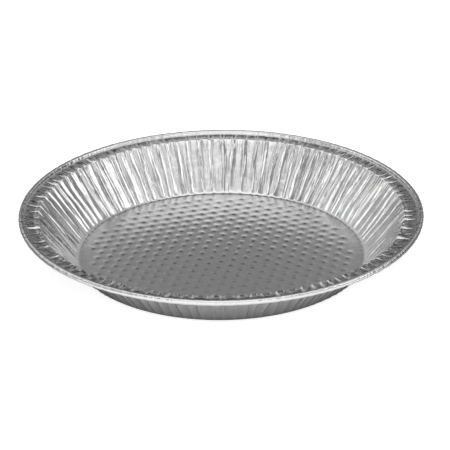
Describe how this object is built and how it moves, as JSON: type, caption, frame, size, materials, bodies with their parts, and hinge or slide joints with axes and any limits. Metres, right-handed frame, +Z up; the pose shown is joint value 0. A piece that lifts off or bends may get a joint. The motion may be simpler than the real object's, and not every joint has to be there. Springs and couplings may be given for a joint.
{
  "type": "foil pie tin",
  "caption": "Round disposable foil pie tin with an embossed base, gathered sloping wall, flat flange and rolled rim.",
  "frame": {"origin": "centre of the tin, on the plane that the base stands on", "axes": "+Z up out of the open mouth; +X and +Y across the round tin"},
  "size_m": [0.2286, 0.2286, 0.03],
  "materials": {
    "foil": "bright rolled foil, with fine rolling grain"
  },
  "bodies": {
    "root": {"pie_tin": "foil"}
  },
  "joints": []
}
